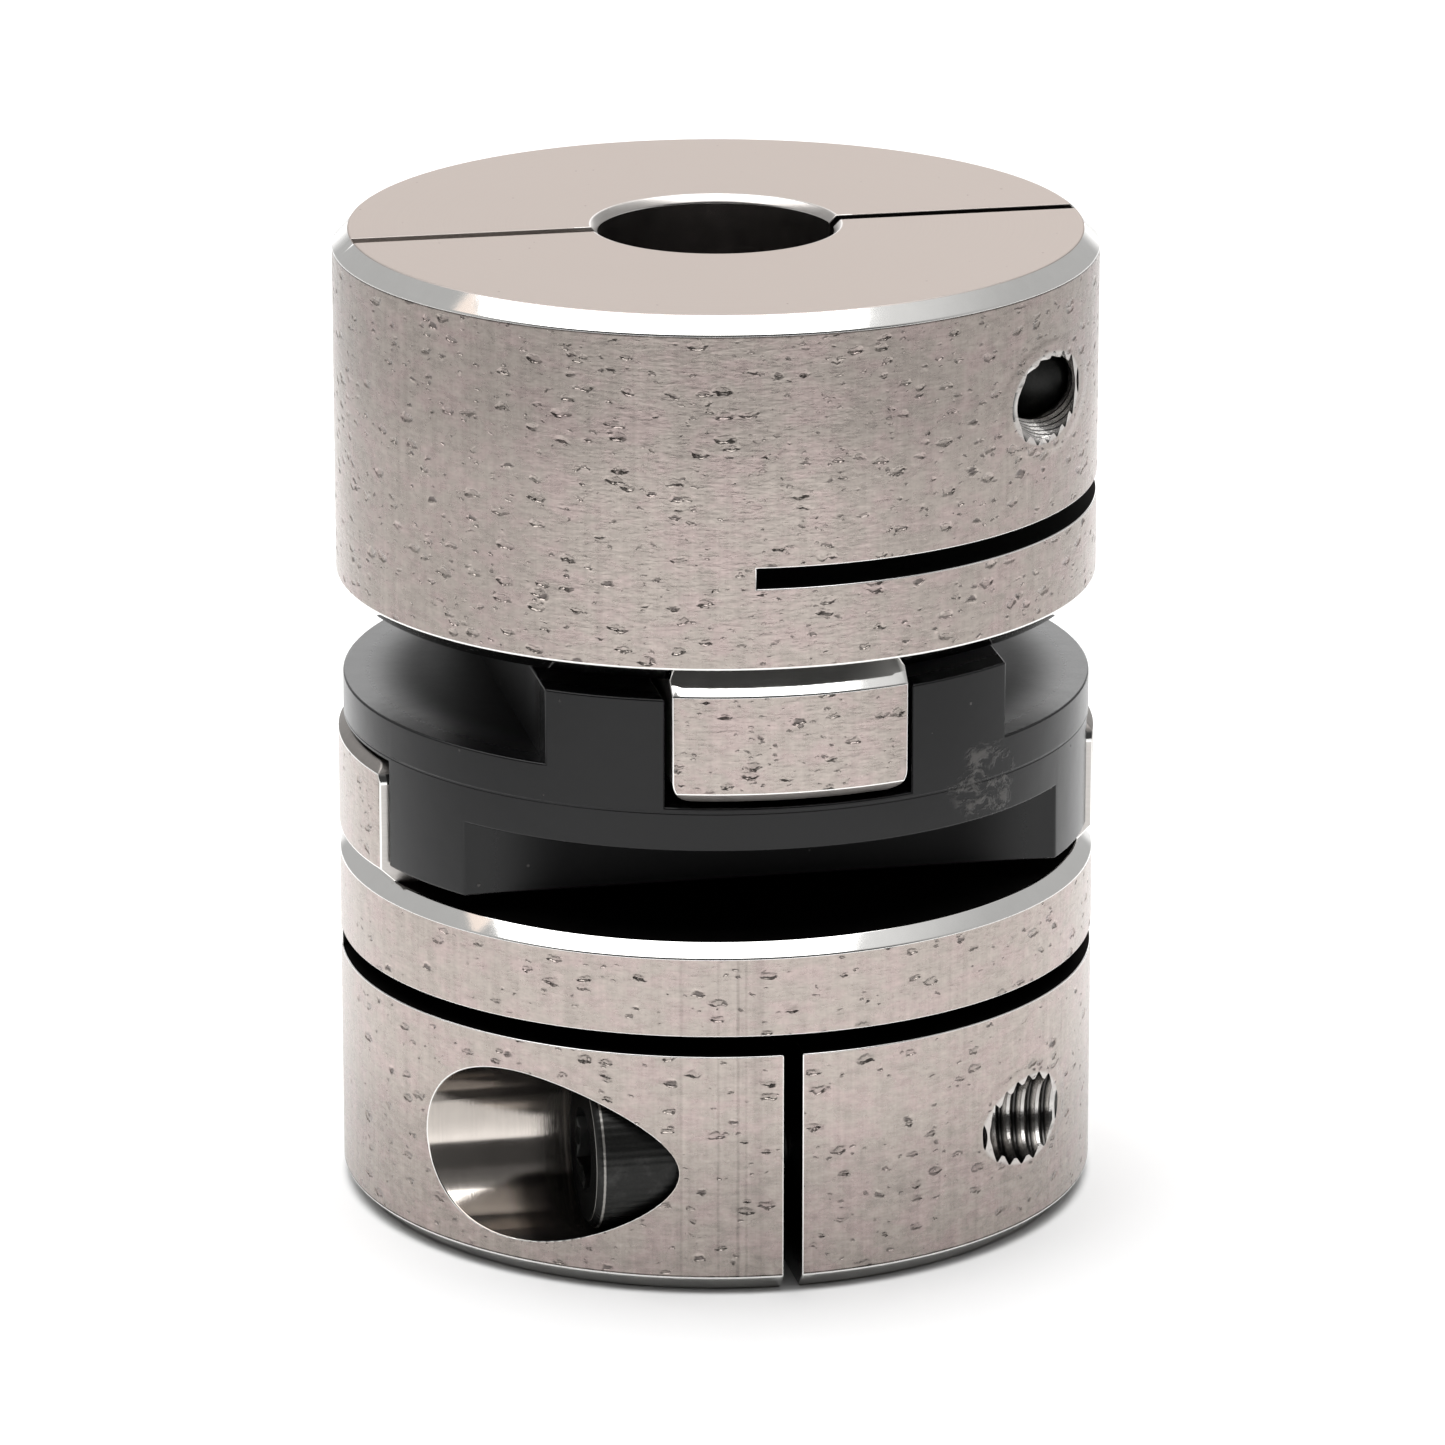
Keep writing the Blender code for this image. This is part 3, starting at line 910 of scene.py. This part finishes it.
shared = hub_finishes()
lower_hub = shaded(hub_mesh(), [turned_finish("turned_aluminium_lower", 0.22, True), *shared])
finish_faces(lower_hub)
upper_hub = lower_hub.copy()
upper_hub.materials[0] = turned_finish("turned_aluminium_upper", 0.5, False)
screw_shape = shaded(screw_mesh(), [black_oxide()])
disc_shape = shaded(disc_mesh(), [acetal()])
over = TURNED_OVER @ SCREW_PLACE
piece("lower_clamp_hub", lower_hub, AS_MADE, "lower_hub", "lower_hub")
piece("upper_clamp_hub", upper_hub, TURNED_OVER, "upper_hub", "upper_hub")
piece("slotted_disc", disc_shape, AS_MADE, "disc", "center_disc")
piece("lower_cap_screw", screw_shape, SCREW_PLACE, "lower_screw", "lower_clamp_screw")
piece("upper_cap_screw", screw_shape, over, "upper_screw", "upper_clamp_screw")


# ---------------------------------------------------------------- camera, floor and light

VIEW_AZIMUTH = math.radians(-11.5)
VIEW_ELEVATION = math.radians(17.26)
VIEW_DISTANCE = 453.5 * MM
AIM_RIGHT = 0.36 * MM
AIM_HEIGHT = -1.306 * MM
LENS = 206.4
RIGHT = Vector((math.cos(VIEW_AZIMUTH), math.sin(VIEW_AZIMUTH), 0.0))
AWAY = Vector((-math.sin(VIEW_AZIMUTH), math.cos(VIEW_AZIMUTH), 0.0))
UP = Vector((0.0, 0.0, 1.0))


def make_camera():
    data = bpy.data.cameras.new("camera")
    data.lens = LENS
    data.sensor_width = 36.0
    camera = bpy.data.objects.new("camera", data)
    bpy.context.scene.collection.objects.link(camera)
    aim = AIM_RIGHT * RIGHT + AIM_HEIGHT * UP
    back = math.sin(VIEW_ELEVATION) * UP - math.cos(VIEW_ELEVATION) * AWAY
    camera.location = aim + back * VIEW_DISTANCE
    camera.rotation_mode = "QUATERNION"
    camera.rotation_quaternion = (-back).to_track_quat("-Z", "Y")
    bpy.context.scene.camera = camera


# The studio's light, as radiance.
WALL = 0.5
FRONT_LOW = 0.05
FRONT_HIGH = 0.12
BACK_PANEL = 1.8
SOFTBOX = 3.1
CEILING_GLOW = 0.33
WARM_LAMP = 1.1
WARM_COLOUR = (1.0, 0.87, 0.79, 1.0)
# The panel's place, as tangents of angles seen from the object.
PANEL_HALF_WIDTH = 0.2
PANEL_TOP = 0.45
PANEL_EDGE = 0.25
# Places on a ceiling one unit above the object: right of it, and away from the camera.
SOFTBOX_RIGHT = (-0.81, 0.48)
SOFTBOX_AWAY = (-0.46, 0.75)
SOFTBOX_EDGE = 0.05
GLOW_END = 1.2
WARM_RIGHT = (-0.97, -0.87)
WARM_AWAY = (0.16, 0.32)
HORIZON = 0.05
# Where the walls and the glow change, as parts of the direction away from the camera, or up.
WALLS_AWAY = (-0.75, -0.1)
FRONT_UP = (0.5, 0.62)
GLOW_AWAY = (-0.75, -0.45)


def within(graph, value, span, edge):
    """1 inside the span, fading to 0 over the edge's width."""
    low, high = span
    rise = graph.step(value, low - edge, low)
    return graph.math("MULTIPLY", rise, graph.step(value, high, high + edge, 1.0, 0.0))


def make_world():
    """Grey walls, a dark side towards the camera, a bright panel behind and a softbox above."""
    world = bpy.data.worlds.new("studio")
    world.use_nodes = True
    bpy.context.scene.world = world
    graph = Graph(world.node_tree)
    direction = graph.node("ShaderNodeTexCoord").outputs["Generated"]
    across = graph.dot(direction, RIGHT)
    away = graph.dot(direction, AWAY)
    up = graph.dot(direction, UP)
    front = graph.step(up, *FRONT_UP, FRONT_LOW, FRONT_HIGH)
    walls = graph.step(away, *WALLS_AWAY, front, WALL)

    depth = graph.math("MAXIMUM", away, HORIZON)
    sideways = graph.math("DIVIDE", across, depth)
    upwards = graph.math("DIVIDE", up, depth)
    panel = graph.math(
        "MULTIPLY",
        within(graph, sideways, (-PANEL_HALF_WIDTH, PANEL_HALF_WIDTH), PANEL_EDGE),
        graph.step(upwards, PANEL_TOP + PANEL_EDGE, PANEL_TOP),
    )

    height = graph.math("MAXIMUM", up, HORIZON)
    place_right = graph.math("DIVIDE", across, height)
    place_away = graph.math("DIVIDE", away, height)
    deep = within(graph, place_away, SOFTBOX_AWAY, SOFTBOX_EDGE)
    softbox = graph.math("MULTIPLY", within(graph, place_right, SOFTBOX_RIGHT, SOFTBOX_EDGE), deep)
    beside = graph.step(place_right, SOFTBOX_RIGHT[1], GLOW_END, 1.0, 0.0)
    beside = graph.math("MULTIPLY", beside, graph.step(place_right, 0.0, SOFTBOX_RIGHT[1]))
    glow = graph.math("MULTIPLY", beside, graph.step(place_away, *GLOW_AWAY))
    lamp = graph.math(
        "MULTIPLY",
        within(graph, place_right, WARM_RIGHT, SOFTBOX_EDGE / 2),
        within(graph, place_away, WARM_AWAY, SOFTBOX_EDGE),
    )

    total = graph.math("MULTIPLY_ADD", panel, BACK_PANEL - WALL, walls)
    total = graph.math("MULTIPLY_ADD", softbox, SOFTBOX, total)
    total = graph.math("MULTIPLY_ADD", glow, CEILING_GLOW, total)
    total = graph.math("MULTIPLY_ADD", lamp, WARM_LAMP - WALL, total)
    background = world.node_tree.nodes["Background"]
    graph.feed(background.inputs["Strength"], total)
    graph.feed(background.inputs["Color"], graph.mix(lamp, grey(1.0), WARM_COLOUR))


# The paper's tone, with painted light and shade: darker beside the object and far in front, and a painted
# contact shadow round the hub's foot. Distances are in millimetres from the object's axis.
PAPER = 0.95
PAPER_IN_FRONT = 1.0
PAPER_BESIDE = 0.66
PAPER_BEHIND = 0.97
PAPER_FAR_IN_FRONT = 0.6
CONTACT_SHADE = 0.5
FRONT_BAND = (-45.0, -24.0)
BACK_BAND = (10.0, 70.0)
FAR_FRONT_BAND = (-230.0, -160.0)
SIDE_BAND = (65.0, 110.0)
CONTACT_BAND = (HUB_RADIUS / MM - 0.6, HUB_RADIUS / MM + 0.3)


def make_floor():
    made, graph, shader, place = new_material("paper")
    away = graph.dot(place, AWAY)
    beside = graph.math("ABSOLUTE", graph.dot(place, RIGHT))
    # Painted light and shade: the paper lighter in front and behind, darker beside and far in front.
    tone = graph.step(away, *FRONT_BAND, PAPER_IN_FRONT, PAPER)
    tone = graph.step(away, *BACK_BAND, tone, PAPER_BEHIND)
    tone = graph.step(away, *FAR_FRONT_BAND, PAPER_FAR_IN_FRONT, tone)
    tone = graph.step(beside, *SIDE_BAND, tone, PAPER_BESIDE)
    # A painted contact shadow round the hub's foot.
    radius = graph.length(graph.scaled(place, (1.0, 1.0, 0.0)))
    shade = graph.step(radius, *CONTACT_BAND, CONTACT_SHADE, 1.0)
    tone = graph.math("MULTIPLY", tone, shade)
    colour = graph.node("ShaderNodeCombineColor", {"Red": tone, "Green": tone, "Blue": tone})
    graph.feed(shader.inputs["Base Color"], colour.outputs[0])
    graph.feed(shader.inputs["Roughness"], 0.8)
    graph.feed(shader.inputs["Specular IOR Level"], 0.0)
    top = HUB_LOW.z - 0.01 * MM
    mesh = shaded(box("floor", (-1.0, -1.0, top - 1 * MM), (1.0, 1.0, top)), [made])
    floor = bpy.data.objects.new("floor", mesh)
    bpy.context.scene.collection.objects.link(floor)


make_camera()
make_world()
make_floor()
bpy.context.scene.view_settings.view_transform = "Standard"
